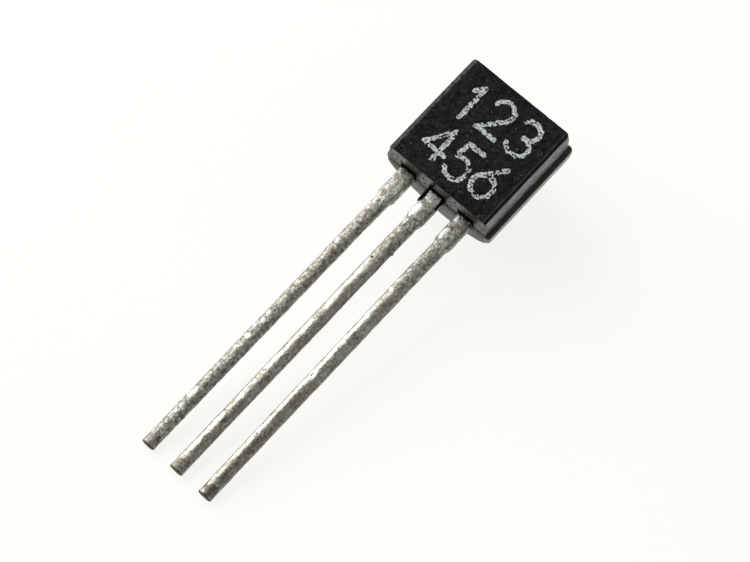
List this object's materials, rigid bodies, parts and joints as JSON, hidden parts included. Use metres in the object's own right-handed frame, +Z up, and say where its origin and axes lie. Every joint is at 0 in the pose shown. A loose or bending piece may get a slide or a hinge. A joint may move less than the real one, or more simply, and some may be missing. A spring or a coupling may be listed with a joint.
{
  "type": "to-92 transistor",
  "caption": "Small transistor in a moulded half-round body with one flat face and long flat tinned leads in a row, lying face up.",
  "frame": {"origin": "middle of the footprint on the surface that it lies on, under the whole transistor's box", "axes": "+Z up, flat face up; +Y along the leads towards the body; +X from lead 1 to lead 3; the leads point to -Y"},
  "size_m": [0.0046, 0.0168, 0.0042],
  "materials": {
    "resin": "fine matt moulded black epoxy, a little glossy at a low angle",
    "tinned_lead": "dull uneven solder-dipped tin",
    "silicon": "polished",
    "bond_film": "silver-filled epoxy",
    "bond_wire": "drawn gold wire"
  },
  "bodies": {
    "root": {"body": "resin", "lead_1": "tinned_lead", "lead_2": "tinned_lead", "lead_3": "tinned_lead", "chip": "silicon", "chip_bond": "bond_film", "bond_wire_1": "bond_wire", "bond_wire_3": "bond_wire"}
  },
  "joints": []
}
